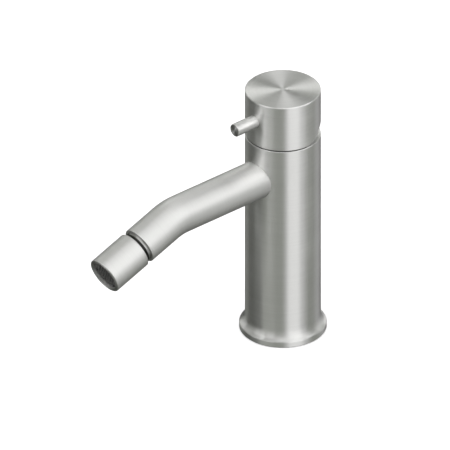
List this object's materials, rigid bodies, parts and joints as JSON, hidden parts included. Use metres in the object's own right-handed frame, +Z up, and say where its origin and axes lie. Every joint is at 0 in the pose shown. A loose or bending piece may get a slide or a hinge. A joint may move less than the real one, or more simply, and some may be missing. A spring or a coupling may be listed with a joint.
{
  "type": "bidet mixer",
  "caption": "Single-hole bidet mixer with a round brushed body on a flared foot, a bent round spout with a swivelling outlet, and a cap handle with a short rod.",
  "frame": {"origin": "on the body's axis, in the plane of the foot's underside", "axes": "+Z up along the body, -Y along the spout, +X to the right seen from the spout's end"},
  "size_m": [0.046, 0.1511, 0.145],
  "materials": {
    "stainless": "brushed round the axis, turned end faces",
    "brass": "machined",
    "polished_steel": "polished",
    "dark_steel": "blackened",
    "rubber": "matt",
    "white_plastic": "moulded",
    "dark_plastic": "moulded, satin",
    "ceramic": "lapped"
  },
  "bodies": {
    "root": {"body_shell": "stainless", "foot_gasket": "rubber", "core_snap_ring": "dark_steel", "spout_tube": "stainless", "nose_insert": "polished_steel", "waterway_core": "brass", "core_o_rings": "rubber", "cartridge_base": "white_plastic", "base_seals": "rubber", "disc_seals": "rubber", "fixed_disc": "ceramic", "cartridge_housing": "white_plastic", "retaining_nut": "brass", "cover_ring": "dark_plastic"},
    "rotor": {"rotor": "white_plastic", "rotor_o_ring": "rubber", "hinge_pin": "polished_steel"},
    "handle": {"lever_stem": "polished_steel", "handle_cap": "stainless", "lever_pin": "stainless", "grub_screw": "dark_steel"},
    "disc": {"moving_disc": "ceramic", "disc_carrier": "white_plastic"},
    "swivel_ball": {"ball_stem": "polished_steel", "stem_o_ring": "rubber"},
    "swivel_barrel": {"swivel_barrel": "stainless", "ball_o_ring": "rubber", "ball_seat": "white_plastic", "seat_retainer": "dark_plastic", "aerator_washer": "rubber", "aerator_housing": "dark_plastic", "aerator_insert": "dark_plastic"}
  },
  "joints": [
    {"name": "handle_turn", "type": "hinge", "parent": "root", "child": "rotor", "pos_m": [0, 0, 0.112], "axis": [0, 0, 1], "range_deg": [-45, 45]},
    {"name": "handle_lift", "type": "hinge", "parent": "rotor", "child": "handle", "pos_m": [0, 0, 0.112], "axis": [-1, 0, 0], "range_deg": [0, 18]},
    {"name": "disc_slide", "type": "slide", "parent": "rotor", "child": "disc", "axis": [0, -1, 0], "range_m": [0, 0.0035]},
    {"name": "swivel_turn", "type": "hinge", "parent": "root", "child": "swivel_ball", "pos_m": [0, -0.10943, 0.08519], "axis": [0, -0.9397, -0.342], "continuous": true},
    {"name": "swivel_tilt", "type": "hinge", "parent": "swivel_ball", "child": "swivel_barrel", "pos_m": [0, -0.10943, 0.08519], "axis": [1, 0, 0], "range_deg": [-10, 10]}
  ],
  "couplings": [
    {"joint": "disc_slide", "follows": "handle_lift", "m_per_rad": 0.011017}
  ]
}
